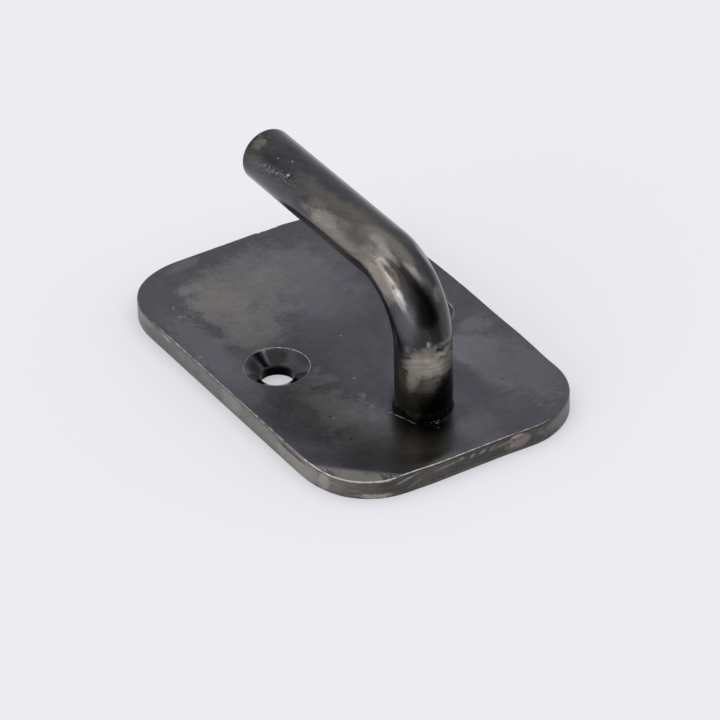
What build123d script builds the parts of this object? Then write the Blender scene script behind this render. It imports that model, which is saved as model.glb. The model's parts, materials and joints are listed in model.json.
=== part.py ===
import os
from math import atan2, degrees

from build123d import *

# A blackened steel wall hook, all sizes in millimetres.
# A round bar is welded into a rounded plate near its lower end, stands out from
# the wall, and bends to run up the wall with a free, square-cut tip.
# Two countersunk holes side by side take the screws.
#
# The back of the plate lies on z = 0 and +Z points out of the wall, +Y points up
# the wall and +X to the right. The origin is the middle of the plate's back face.

# Back plate
plate_width = 52.0
plate_height = 79.0
plate_thickness = 4.0
plate_corner_radius = 13.5
front_edge_break = 0.35
back_edge_break = 0.2

# Screw holes
screw_spacing = 30.0
screw_row_above_middle = 0.6
screw_hole_diameter = 6.2
countersink_diameter = 11.8
countersink_angle = 113.0

# Bent bar, by its centre line
bar_diameter = 10.0
foot_above_bottom_edge = 16.0
arm_standoff = 28.8
bend_radius = 12.0
arm_reach = 50.7
tip_edge_radius = 0.6

# Welds between the bar and the plate
seat_clearance = 0.05
front_bead_width = 0.45
front_bead_height = 1.8
front_bead_crown = 0.1
back_weld_width = 1.5
back_weld_depth = 1.5

# Sizes that follow from the ones above
bar_radius = bar_diameter / 2
seat_radius = bar_radius + seat_clearance
back_weld_radius = seat_radius + back_weld_width
back_weld_angle = 2 * degrees(atan2(back_weld_width, back_weld_depth))
foot_y = foot_above_bottom_edge - plate_height / 2
tip_y = foot_y + arm_reach
foot_axis = Axis((0, foot_y, 0), (0, 0, 1))
wall_plane = Plane.XY
front_plane = Plane.XY.offset(plate_thickness)
foot_section = Plane.XZ.offset(-foot_y)

os.makedirs("parts", exist_ok=True)


# Flat bar with round corners and both edges broken, drilled for the screws from
# the front, and bored for the bar with a weld groove at the back
with BuildPart() as back_plate:
    with BuildSketch(wall_plane):
        RectangleRounded(plate_width, plate_height, plate_corner_radius)
    extrude(amount=plate_thickness)
    chamfer(back_plate.faces().sort_by(Axis.Z)[-1].edges(), front_edge_break)
    chamfer(back_plate.faces().sort_by(Axis.Z)[0].edges(), back_edge_break)
    with Locations(front_plane):
        with Locations((0, screw_row_above_middle)):
            with GridLocations(screw_spacing, 0, 2, 1):
                CounterSinkHole(
                    radius=screw_hole_diameter / 2,
                    counter_sink_radius=countersink_diameter / 2,
                    counter_sink_angle=countersink_angle,
                )
    with Locations(Plane(origin=(0, foot_y, 0), z_dir=(0, 0, -1))):
        CounterSinkHole(
            radius=seat_radius,
            counter_sink_radius=back_weld_radius,
            counter_sink_angle=back_weld_angle,
        )
back_plate.part.label = "back_plate"


# Round bar through the plate, flush with its back, bent once towards the top
with BuildPart() as hook_arm:
    with BuildLine(Plane.YZ):
        FilletPolyline(
            (foot_y, 0),
            (foot_y, arm_standoff),
            (tip_y, arm_standoff),
            radius=bend_radius,
        )
    with BuildSketch(wall_plane):
        with Locations((0, foot_y)):
            Circle(bar_radius)
    sweep()
    fillet(hook_arm.faces().sort_by(Axis.Y)[-1].edges(), tip_edge_radius)
hook_arm.part.label = "hook_arm"


# Low weld bead round the bar's foot, on the front of the plate
with BuildPart() as front_weld_bead:
    with BuildSketch(foot_section):
        with BuildLine():
            bead_root = (bar_radius, plate_thickness)
            bead_toe = (bar_radius + front_bead_width, plate_thickness)
            bead_top = (bar_radius, plate_thickness + front_bead_height)
            Line(bead_root, bead_toe)
            SagittaArc(bead_toe, bead_top, -front_bead_crown)
            Line(bead_top, bead_root)
        make_face()
    revolve(axis=foot_axis)
front_weld_bead.part.label = "front_weld_bead"


# Weld that fills the groove round the bar, ground flush with the plate's back
with BuildPart() as back_weld:
    with BuildSketch(foot_section):
        with BuildLine():
            Polyline(
                (bar_radius, 0),
                (back_weld_radius, 0),
                (seat_radius, back_weld_depth),
                (bar_radius, back_weld_depth),
                close=True,
            )
        make_face()
    revolve(axis=foot_axis)
back_weld.part.label = "back_weld"


export_step(back_plate.part, "parts/back_plate.step")
export_step(hook_arm.part, "parts/hook_arm.step")
export_step(front_weld_bead.part, "parts/front_weld_bead.step")
export_step(back_weld.part, "parts/back_weld.step")
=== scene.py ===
import json
import math

import bmesh
import bpy
from mathutils import Matrix, Quaternion, Vector, noise


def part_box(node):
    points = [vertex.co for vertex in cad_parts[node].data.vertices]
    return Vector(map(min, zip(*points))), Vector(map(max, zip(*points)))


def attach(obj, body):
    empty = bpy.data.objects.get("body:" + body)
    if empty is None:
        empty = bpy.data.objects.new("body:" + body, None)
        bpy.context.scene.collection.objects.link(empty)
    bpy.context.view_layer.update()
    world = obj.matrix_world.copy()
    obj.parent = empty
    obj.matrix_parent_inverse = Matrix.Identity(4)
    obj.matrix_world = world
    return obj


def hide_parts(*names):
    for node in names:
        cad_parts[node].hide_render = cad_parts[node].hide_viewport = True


# A blackened steel wall hook that lies on its back on a pale floor
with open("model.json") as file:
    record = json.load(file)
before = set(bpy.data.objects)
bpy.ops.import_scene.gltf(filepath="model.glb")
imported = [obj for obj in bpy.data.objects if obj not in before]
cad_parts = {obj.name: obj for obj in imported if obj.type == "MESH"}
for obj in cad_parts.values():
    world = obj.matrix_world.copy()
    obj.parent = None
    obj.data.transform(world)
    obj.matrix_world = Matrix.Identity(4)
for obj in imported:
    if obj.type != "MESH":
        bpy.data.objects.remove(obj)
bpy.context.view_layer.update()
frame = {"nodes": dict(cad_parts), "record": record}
mounts = {mount["name"]: mount for mount in frame["record"]["mounts"]}
mm = 0.001
toMm = 1000.0


def srgb(hexText):
    # sRGB hex to linear colour
    channels = [int(hexText[i:i + 2], 16) / 255 for i in (0, 2, 4)]
    return tuple(c / 12.92 if c <= 0.04045 else ((c + 0.055) / 1.055) ** 2.4 for c in channels) + (1.0,)


def addNode(tree, kind, settings=None, links=None):
    # One node: settings go to its attributes or sockets, links join other nodes' outputs to it
    node = tree.nodes.new("ShaderNode" + kind)
    for name, value in (settings or {}).items():
        if isinstance(name, str) and hasattr(node, name):
            setattr(node, name, value)
        else:
            node.inputs[name].default_value = value
    for name, source in (links or {}).items():
        tree.links.new(source, node.inputs[name])
    return node


def newMaterial(name):
    # An empty node material and its output node
    material = bpy.data.materials.new(name)
    material.use_nodes = True
    material.node_tree.nodes.clear()
    output = material.node_tree.nodes.new("ShaderNodeOutputMaterial")
    return material, material.node_tree, output


def finishMesh(bm, name, material, sharpAngle=28):
    # Closes a bmesh into an object at the origin, smooth apart from edges past sharpAngle
    bmesh.ops.remove_doubles(bm, verts=bm.verts, dist=0.0005 * mm)
    bmesh.ops.recalc_face_normals(bm, faces=bm.faces)
    mesh = bpy.data.meshes.new(name)
    bm.to_mesh(mesh)
    bm.free()
    for face in mesh.polygons:
        face.use_smooth = True
    mesh.set_sharp_from_angle(angle=math.radians(sharpAngle))
    mesh.materials.append(material)
    piece = bpy.data.objects.new(name, mesh)
    bpy.context.scene.collection.objects.link(piece)
    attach(piece, "root")
    return piece


def ringEdges(verts):
    # The edges whose two ends are both in a ring
    ring = set(verts)
    return list({e for v in verts for e in v.link_edges if e.verts[0] in ring and e.verts[1] in ring})


def newVerts(made):
    # The vertices among what an operator made
    return [item for item in made if isinstance(item, bmesh.types.BMVert)]


def longEdges(bm, axis, least):
    # The edges that reach further than least along an axis
    return [e for e in bm.edges if abs(e.verts[0].co[axis] - e.verts[1].co[axis]) > least]


def extrudeRing(bm, ring):
    # A new ring joined to the old one, still in the same place
    return newVerts(bmesh.ops.extrude_edge_only(bm, edges=ringEdges(ring))["geom"])


def smoothStep(low, high, value):
    # From 0 at low to 1 at high, level at both ends
    share = min(max((value - low) / (high - low), 0.0), 1.0)
    return share * share * (3 - 2 * share)


def towards(angles):
    # Unit vector of a bearing, round from -Y towards +X, and a rise in degrees
    turn = math.radians(angles[0])
    rise = math.radians(angles[1])
    return Vector((math.sin(turn) * math.cos(rise), -math.cos(turn) * math.cos(rise), math.sin(rise)))


# Camera: long lens, from above and from the left of the hook's foot
cameraPlace = {
    "towards": (-31.66, 34.29),      # bearing and rise of the camera, in degrees
    "roll": -1.40,
    "distance": 0.8818,
    "aim": (0.00117, -0.00092, 0.0),
    "lens": 250.0,
    "sensor": 36.0,
    "clip": (0.05, 20.0),
}


def makeCamera():
    back = towards(cameraPlace["towards"])
    data = bpy.data.cameras.new("camera")
    data.lens = cameraPlace["lens"]
    data.sensor_width = cameraPlace["sensor"]
    data.clip_start, data.clip_end = cameraPlace["clip"]
    camera = bpy.data.objects.new("camera", data)
    camera.rotation_mode = "QUATERNION"
    camera.location = Vector(cameraPlace["aim"]) + back * cameraPlace["distance"]
    level = (-back).to_track_quat("-Z", "Y")
    camera.rotation_quaternion = level @ Quaternion((0, 0, 1), math.radians(cameraPlace["roll"]))
    bpy.context.scene.collection.objects.link(camera)
    bpy.context.scene.camera = camera


# Studio: an even pale surround, lighter overhead, with an unlit room on the camera's side
studio = {
    "light": "f4f5fa",
    "wall": "e9eaee",
    "sideLevel": 0.80,
    "overheadLevel": 1.35,
    "riseBetween": (0.25, 0.95),     # from the side level to the overhead one, as shares of straight up
    "roomLevel": 0.03,
    "roomTowards": (5.0, 13.0),      # bearing and rise in degrees
    "roomHalfAngle": (20.0, 60.0),   # dark inside the first, gone at the second
    "windowLevel": 1.35,
    "windowTowards": (-76.0, 10.0),
    "windowHalfAngle": (8.0, 40.0),
    "floorColour": "f3f3f5",
    "floorGlow": 0.36,
    "floorHalf": 3.0,
    "floorLightLevel": 0.83,         # what lights the matt floor: most from behind and the right
    "floorLightLean": 0.80,
    "floorLightTowards": (122.0, 20.0),
}


def makeWorld():
    world = bpy.data.worlds.new("studio")
    bpy.context.scene.world = world
    world.use_nodes = True
    tree = world.node_tree
    tree.nodes.clear()
    place = addNode(tree, "TexCoord").outputs["Generated"]
    parts = addNode(tree, "SeparateXYZ", links={0: place})
    low, high = studio["riseBetween"]
    level = addNode(
        tree, "MapRange",
        {"interpolation_type": "SMOOTHSTEP", "From Min": low, "From Max": high,
         "To Min": studio["sideLevel"], "To Max": studio["overheadLevel"]},
        {"Value": parts.outputs["Z"]},
    ).outputs["Result"]
    aligned = {}
    for name in ("room", "window", "floorLight"):
        aligned[name] = addNode(
            tree, "VectorMath", {"operation": "DOT_PRODUCT", 1: towards(studio[name + "Towards"])},
            {0: place},
        ).outputs["Value"]
    masks = {}
    for name in ("room", "window"):
        inner, outer = (math.cos(math.radians(angle)) for angle in studio[name + "HalfAngle"])
        masks[name] = addNode(
            tree, "MapRange", {"interpolation_type": "SMOOTHSTEP", "From Min": outer, "From Max": inner},
            {"Value": aligned[name]},
        ).outputs["Result"]
    dimmed = addNode(
        tree, "Mix", {"data_type": "FLOAT", 3: studio["roomLevel"]}, {0: masks["room"], 2: level}
    ).outputs[0]
    lit = addNode(
        tree, "Math", {"operation": "MULTIPLY_ADD", 1: studio["windowLevel"]},
        {0: masks["window"], 2: dimmed},
    ).outputs[0]
    path = addNode(tree, "LightPath")
    floorLight = addNode(
        tree, "Math",
        {"operation": "MULTIPLY_ADD", 1: studio["floorLightLean"], 2: studio["floorLightLevel"]},
        {0: aligned["floorLight"]},
    ).outputs[0]
    strength = addNode(
        tree, "Mix", {"data_type": "FLOAT"}, {0: path.outputs["Is Diffuse Ray"], 2: lit, 3: floorLight}
    ).outputs[0]
    surround = addNode(tree, "Background", {"Color": srgb(studio["light"])}, {"Strength": strength})
    seen = addNode(tree, "Background", {"Color": srgb(studio["wall"]), "Strength": 1.0})
    mixed = addNode(
        tree, "MixShader",
        links={0: path.outputs["Is Camera Ray"], 1: surround.outputs[0], 2: seen.outputs[0]},
    )
    output = tree.nodes.new("ShaderNodeOutputWorld")
    tree.links.new(mixed.outputs[0], output.inputs["Surface"])


def makeFloor():
    # Matt pale board: part of its colour is its own glow, which keeps the contact shadow light
    material, tree, output = newMaterial("pale_matt_board")
    colour = srgb(studio["floorColour"])
    matt = addNode(tree, "BsdfDiffuse", {"Color": colour, "Roughness": 0.5})
    glow = addNode(tree, "Emission", {"Color": colour, "Strength": 1.0})
    mixed = addNode(
        tree, "MixShader", {0: studio["floorGlow"]}, {1: matt.outputs[0], 2: glow.outputs[0]}
    )
    tree.links.new(mixed.outputs[0], output.inputs["Surface"])
    bm = bmesh.new()
    bmesh.ops.create_grid(bm, x_segments=4, y_segments=4, size=studio["floorHalf"])
    mesh = bpy.data.meshes.new("floor")
    bm.to_mesh(mesh)
    bm.free()
    mesh.materials.append(material)
    floor = bpy.data.objects.new("floor", mesh)
    bpy.context.scene.collection.objects.link(floor)


# Steel finishes: a tone is what the blackened metal reflects, and lengths are in mm
noiseSwing = 0.2    # how far a centred noise mostly swings to either side of zero


def placeInMm(tree):
    # The object's own coordinates, in mm
    place = addNode(tree, "TexCoord").outputs["Object"]
    return addNode(tree, "Mapping", {"Scale": (toMm, toMm, toMm)}, {"Vector": place}).outputs[0]


def centredNoise(tree, place, scale, detail, roughness, distortion=0.0):
    # Noise stretched to scale, from about -0.5 to 0.5
    stretched = addNode(tree, "Mapping", {"Scale": scale}, {"Vector": place}).outputs[0]
    raw = addNode(
        tree, "TexNoise",
        {"Scale": 1.0, "Detail": detail, "Roughness": roughness, "Distortion": distortion},
        {"Vector": stretched},
    ).outputs["Fac"]
    return addNode(tree, "Math", {"operation": "SUBTRACT", 1: 0.5}, {0: raw}).outputs[0]


def blendTones(tree, pattern, between, tones, most=1.0):
    # A colour that turns from one tone to another where the pattern passes between two values
    share = addNode(
        tree, "MapRange", {"From Min": between[0], "From Max": between[1], "To Max": most},
        {"Value": pattern},
    ).outputs["Result"]
    return addNode(
        tree, "Mix", {"data_type": "RGBA", 6: srgb(tones[0]), 7: srgb(tones[1])}, {0: share}
    ).outputs[2]


def cloudedSteel(tree, mottling, finish):
    # The colour and roughness of the blackening before anything lies on it
    colour = blendTones(tree, mottling, finish["clouds"], finish["tones"])
    roughLow, roughHigh = finish["roughness"]
    roughness = addNode(
        tree, "MapRange",
        {"From Min": -noiseSwing, "From Max": noiseSwing, "To Min": roughLow, "To Max": roughHigh},
        {"Value": mottling},
    ).outputs["Result"]
    return colour, roughness


def varyTone(tree, colour, pattern, spread):
    # Darkens and lightens a colour along a noise, by up to a share of it
    share = addNode(
        tree, "MapRange",
        {"From Min": -noiseSwing, "From Max": noiseSwing, "To Min": 1 - spread, "To Max": 1 + spread},
        {"Value": pattern},
    ).outputs["Result"]
    return addNode(
        tree, "Mix", {"data_type": "RGBA", "blend_type": "MULTIPLY", 0: 1.0}, {6: colour, 7: share}
    ).outputs[2]


def oval(at, half, tone, strength=1.0, torn=None, **more):
    # A soft oval of one tone. Torn holds the noises that tear its edge, and more its turn and the like
    return {"at": at, "half": half, "tone": tone, "strength": strength, "torn": torn or {}, **more}


def layPatches(tree, place, tears, patches, locate, colour, roughness):
    # Lays soft ovals over the finish below, their edges torn by the noises that each one names
    reach = 6.0    # how many half sizes out an oval is still measured
    for patch in patches:
        at, turn, half = locate(patch)
        placed = addNode(
            tree, "Mapping",
            {"vector_type": "TEXTURE", "Location": at, "Rotation": turn, "Scale": [reach * h for h in half]},
            {"Vector": place},
        ).outputs[0]
        inside = addNode(
            tree, "TexGradient", {"gradient_type": "SPHERICAL"}, {"Vector": placed}
        ).outputs["Fac"]
        edge = addNode(
            tree, "Math", {"operation": "MULTIPLY_ADD", 1: -reach, 2: reach}, {0: inside}
        ).outputs[0]
        for tear, amount in patch["torn"].items():
            edge = addNode(
                tree, "Math", {"operation": "MULTIPLY_ADD", 1: amount}, {0: tears[tear], 2: edge}
            ).outputs[0]
        rim = 1 - patch.get("sparse", 0.0)
        soft = patch.get("soft", 0.4)
        mask = addNode(
            tree, "MapRange",
            {"interpolation_type": "SMOOTHSTEP", "From Min": rim + soft, "From Max": rim - soft,
             "To Max": patch["strength"]},
            {"Value": edge},
        ).outputs["Result"]
        colour = addNode(
            tree, "Mix", {"data_type": "RGBA", 7: srgb(patch["tone"])}, {0: mask, 6: colour}
        ).outputs[2]
        if "roughness" in patch:
            roughness = addNode(
                tree, "Mix", {"data_type": "FLOAT", 3: patch["roughness"]}, {0: mask, 2: roughness}
            ).outputs[0]
    return colour, roughness


plateFinish = {
    "tones": ("434348", "4e4e52"),
    "wallTonesAndLight": ("52504d", "7a7774"),    # below, and on the left: the left one lighter as painted light, the left wall mirroring the floor and window
    "filedTones": ("736f6b", "3b3835"),
    # Bare steel of the rubbed arris, laid where the arris's highlight falls: partly a painted highlight
    "rubbedAndHighlit": "cfc8be",
    # Near-black of the bores: painted shade in the holes
    "bored": "0b0b0c",
    "roughness": (0.26, 0.36),
    "wallRoughness": 0.38,
    "filedRoughness": 0.42,
    "turnedRoughness": 0.14,
    "mottleSize": 9.0,     # across one cloud of the mottling
    "clouds": (-0.12, 0.16),    # the noise values between which the first tone turns to the second
    "leftWallLitFrom": (-18.0, -26.0),    # x where the left wall's lighter tone, painted light, begins and where it is full
    "filingSpread": 0.24,
    "grainSize": 0.45,
    "grainSpread": 0.09,
    "fileMarkPitch": 0.30,
    "fileMarkTurn": 10.0,
    "fileMarkCut": (0.08, 0.22),
    "fileMarkMost": 0.8,
    "wornAndHighlitCut": (0.25, 0.9),
    "wornAndHighlitMost": 0.9,
    "turnedDimming": 0.2,
}
plateShares = ("rubbedAndHighlit", "filed", "wall", "turned", "bored")    # how far a vertex is each of these

# Clouds in the blackening, where it took less or more; round the bar's foot the painted reflection of the
# dark bar, and one painted highlight in the left countersink: place and half size from the plate's middle
ragged = {"broad": 1.2, "fine": 0.7}
wispy = {"broad": 1.6, "fine": 1.3}
plateCloudsAndReflections = [
    oval((3, 21), (8, 11.5), "5c5b60", 0.9, ragged, turn=-14, soft=0.5),
    oval((-2, 26.5), (11, 7.6), "605f62", 0.8, wispy, turn=8),
    oval((-8.5, 25), (9.8, 8), "666360", 0.8, ragged, turn=6, soft=0.28),
    oval((-12, 23.4), (5, 5.4), "706c68", 0.7, wispy),
    oval((-1.5, 27.5), (4.2, 1.6), "6c6967", 0.6, wispy, turn=30),
    oval((-12, 13.4), (5.4, 5.4), "696664", 0.8, ragged, turn=-20, soft=0.3),
    oval((-5.6, 16.6), (3.6, 2.4), "676563", 0.6, wispy, turn=-10),
    oval((-14, 8.4), (3.2, 1.8), "605e5d", 0.7, wispy, turn=-30),
    oval((-8.2, 19.6), (3.2, 0.6), "565556", 0.5, wispy, turn=24),
    oval((-22.5, 10), (3.2, 16), "5c5b60", 0.8, wispy),
    oval((-17.5, 11.5), (4, 1.1), "605e5e", 0.6, wispy, turn=-48),
    oval((-22, 31), (5, 6), "4c4b50", 0.6, wispy),
    oval((-20.6, 0.4), (0.8, 4), "58585c", 0.5, wispy),
    oval((-10.7, -4.8), (2, 0.8), "646365", 0.6, wispy, turn=40),
    oval((-12.8, -6.7), (5.4, 1.5), "646365", 0.7, wispy, turn=-14),
    oval((-15.6, 18.6), (1.9, 2.6), "6a6765", 0.7, wispy),
    oval((-17, 25.6), (1, 2.8), "6c6967", 0.6, wispy),
    # Painted highlight on the far side of the left countersink's cone
    oval((-15.2, 6.2), (1.8, 0.6), "919090", 0.8, wispy, turn=12),
    oval((21.2, -7.8), (3, 2.2), "6a686a", 0.6, wispy),
    oval((-15.4, 30), (2.4, 1.5), "726f6c", 0.7, wispy),
    oval((-11.6, 37.6), (3.4, 1.3), "5f5e63", 0.7, wispy, turn=8),
    oval((10.4, 13.4), (1.6, 2.4), "5c5b60", 0.6, wispy),
    oval((-15, -16.4), (5.2, 7.2), "73706b", 0.8, wispy, turn=16),
    oval((-10.4, -22), (3.2, 5.4), "666568", 0.65, wispy, turn=-10, soft=0.5),
    oval((-14.5, -25), (5, 3.6), "5f5b58", 0.7, wispy, turn=20),
    oval((-8.5, -26.5), (3.4, 3), "5a5758", 0.65, wispy),
    oval((-18.8, -14.5), (2.4, 5), "424244", 0.6, wispy),
    oval((16.2, -14.8), (5, 5.4), "6b686b", 0.85, ragged, turn=-20, soft=0.3),
    oval((19.5, -23.5), (7, 11), "5a595d", 0.8, wispy, turn=10),
    oval((14.6, -24), (1.6, 4.2), "5f5e5f", 0.6, wispy, turn=14),
    oval((9.5, -20), (3, 9), "424248", 0.75, ragged),
    # Painted reflection of the dark bar in the plate, over the plate's own tone: it runs from the bead
    # towards the near edge and is darkest next to the bead
    oval((-10.5, -32), (7, 4.5), "4d4c48", 0.7, wispy),
    oval((-5, -31.4), (4.3, 8.4), "5c584d", 0.85, {"fine": 0.4}, turn=-33, soft=0.5, roughness=0.3),
    oval((-3, -28.2), (4.6, 3.2), "2c2a26", 0.75, {"fine": 0.5}, turn=-33, soft=0.55, roughness=0.25),
    oval((3.6, -34.4), (3.6, 3.6), "565456", 0.75, wispy, turn=-33, soft=0.6, roughness=0.2),
    oval((4.2, -28.6), (1.8, 2.8), "3e3e42", 0.5, wispy, turn=-12),
    # Painted reflection of the dark bar again, near the front edge
    oval((-9.4, -36.8), (4.2, 1.4), "2f2e2b", 0.6, wispy, turn=-20, soft=0.5),
    # A dark narrow band beside the bead's left side
    oval((-5.2, -22.2), (0.9, 6.4), "232326", 0.7, {"fine": 0.7}, turn=-32, soft=0.6),
]

# Small marks in it: flecks of bare steel, pits and scratches, painted glints along the weld's toe, and
# painted reflections in the left countersink
fleck = {"fine": 1.6}
crumb = {"fine": 4.5}
plateMarksAndReflections = [
    oval((-20.5, 26.7), (0.55, 0.22), "707075", 0.7, crumb, turn=60),
    oval((-20.9, 23.4), (0.95, 0.4), "6e6e73", 0.7, crumb, turn=-20),
    oval((-20.2, 19.8), (1.4, 0.35), "5e5e63", 0.6, crumb, turn=-50),
    oval((-18.2, 25), (0.16, 0.12), "95938d"),
    oval((-20.6, 18.9), (0.12, 0.1), "858480"),
    oval((-24.6, 10.6), (0.2, 0.14), "8b8986", 1, fleck),
    oval((-0.6, 2.5), (0.17, 0.11), "949294"),
    oval((-5.2, -1.3), (0.1, 0.18), "6f6e71"),
    oval((-6, 16.3), (2.2, 0.12), "565658", 0.5, fleck, turn=20),
    oval((-12, 12), (0.45, 0.24), "504f51", 0.6, fleck, turn=10),
    oval((-14.2, 16.6), (0.75, 0.22), "4c4b4d", 0.6, fleck, turn=-30),
    oval((-15.4, -17.6), (0.26, 0.14), "33322f", 1, fleck),
    oval((-15, -18.4), (0.4, 0.25), "8a8681", 0.6, crumb),
    oval((-16.1, -25.3), (0.16, 0.28), "333230", 1, fleck),
    oval((-17.6, -12.8), (1.3, 0.5), "45443f", 0.5, crumb, turn=10),
    oval((-12.6, -19), (1.2, 1.6), "7a7671", 0.5, crumb, turn=20),
    oval((-5.7, -10.1), (0.3, 0.22), "77767a", 0.8, crumb),
    oval((-7.2, -15.6), (0.9, 0.28), "6f6e72", 0.6, crumb, turn=60),
    oval((-9.2, -21), (0.9, 2), "737276", 0.5, crumb, turn=-25),
    oval((-7.5, -18.7), (0.17, 0.13), "8f8e90"),
    oval((-6.2, -22.4), (0.16, 0.2), "7f7e7c", 1, fleck),
    oval((-17, -26), (0.12, 1.1), "5d5a54", 0.6, fleck, turn=55),
    oval((-21.2, -4.1), (0.14, 1.6), "6b6a6e", 0.5, fleck, turn=-10),
    oval((15.5, -24.6), (0.34, 0.24), "434346", 1, fleck),
    oval((14.6, -26.6), (0.26, 0.2), "46464a", 1, fleck),
    oval((21, -22), (0.26, 0.18), "48484b", 1, fleck),
    oval((14.6, -18.6), (3.2, 0.35), "5f5e60", 0.6, crumb, turn=-42),
    # Painted glints along the weld's toe, as thin pale dashes
    oval((-4.75, -26.6), (0.13, 1.1), "bab8b2", 0.7, {"speck": 2}, turn=14, roughness=0.7),
    oval((-5.5, -24.4), (0.11, 1.2), "a3a29c", 1, {"fine": 2.4}, turn=20, roughness=0.8),
    oval((-0.9, -29), (1.9, 1), "c4c2bb", 1, {"speck": 7}, sparse=1.3, roughness=0.7),
    oval((-1.8, -30.8), (0.13, 0.09), "aaa8a2", roughness=0.7),
    oval((5.9, -24.8), (0.6, 1.3), "161618", 0.8, {"speck": 6}, sparse=1),
    # Painted reflection in the left countersink's cone: the dark and light wedges that its turning would
    # mirror
    oval((-17.8, 2.9), (1.4, 2.8), "212124", 0.85, turn=-20),
    oval((-14.2, -3.5), (2.6, 0.9), "1f1f21", 0.7, turn=-10),
    oval((-9.7, 0.6), (0.7, 1.7), "353538", 0.5),
    oval((-13, 4.2), (2.2, 1.75), "2f2c2a", 0.85, {"fine": 0.5}, turn=-20, soft=0.3),
    oval((-15.3, 5.2), (1.05, 1.7), "6e6e72", 0.8, turn=5, soft=0.35),
]

# Filing, scuffs and bare places on the walls of the plate
scuff = {"fine": 1.8}
wallMarks = [
    oval((-26, 23, 2.2), (1, 5.5, 1.4), "6b6966", 0.6, scuff),
    oval((-26, 20.4, 3.3), (0.8, 1.7, 0.45), "a3a09a", 0.8, scuff),
    oval((-26, -2, 2.2), (0.8, 3, 1.8), "96928c", 0.7, scuff),
    oval((-26, -12, 2), (0.8, 7, 1.5), "8f8b84", 0.45, scuff),
    oval((-25.6, -24, 1.8), (1.8, 7, 1.8), "9d9791", 0.75, scuff),
    oval((-26, -22, 3.15), (0.8, 4.4, 0.28), "2e2d2d", 0.9, scuff),
    oval((-26, 27.4, 3), (0.8, 3.2, 0.8), "8d8a87", 0.6, scuff),
    oval((-25, -30.6, 1.8), (1.2, 1.3, 1.4), "a8a29b", 0.6, scuff),
    oval((8.5, -39.5, 3.2), (1.2, 0.8, 0.4), "a09893", 0.8, scuff),
    oval((-25.8, -28.6, 1.9), (0.8, 0.9, 0.6), "8b8d80", 0.8, scuff),
    oval((-19, -37.6, 0.6), (3.4, 2, 0.45), "a8a29b", 0.8, scuff),
    oval((-13.9, -39.3, 2.85), (2, 0.8, 0.17), "96918b", 0.8, scuff, tilt=14),
    oval((-12.6, -39.4, 1.3), (1.8, 0.8, 0.2), "7c7873", 0.6, scuff, tilt=20),
    oval((-8.5, -39.5, 2.1), (4, 0.8, 1.6), "64615e", 0.4, scuff),
    oval((-5.2, -39.5, 2.65), (2.6, 0.8, 0.17), "8d8883", 0.75, scuff, tilt=4),
    oval((-2.6, -39.5, 3), (0.35, 0.8, 0.25), "938e88", 0.7, scuff),
    oval((-0.5, -39.5, 2.75), (0.5, 0.8, 0.2), "89847e", 1, crumb, tilt=30),
    oval((1.7, -39.5, 2.8), (0.65, 0.8, 0.18), "8d8882", 1, crumb, tilt=20),
    oval((3.5, -39.5, 2.7), (0.7, 0.8, 0.24), "807b76", 1, crumb, tilt=35),
    oval((6, -39.5, 2.6), (2, 0.8, 0.25), "7d7974", 0.7, scuff, tilt=6),
    oval((9, -39.5, 1.8), (2.3, 0.8, 1), "8d807b", 0.85, scuff, tilt=8),
    oval((1, -39.5, 0.5), (15, 0.8, 0.28), "6e6966", 0.6, scuff),
    oval((19, -38, 2), (6.5, 2.5, 1.6), "74726f", 0.7, scuff),
]


def onPlate(patch):
    # A mark's place, turn and half size: one with no height given is on the front face
    flat = len(patch["at"]) == 2
    at = (*patch["at"], 4.0) if flat else patch["at"]
    half = (*patch["half"], 2.5) if flat else patch["half"]
    return at, (0.0, -math.radians(patch.get("tilt", 0)), math.radians(patch.get("turn", 0))), half


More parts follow.
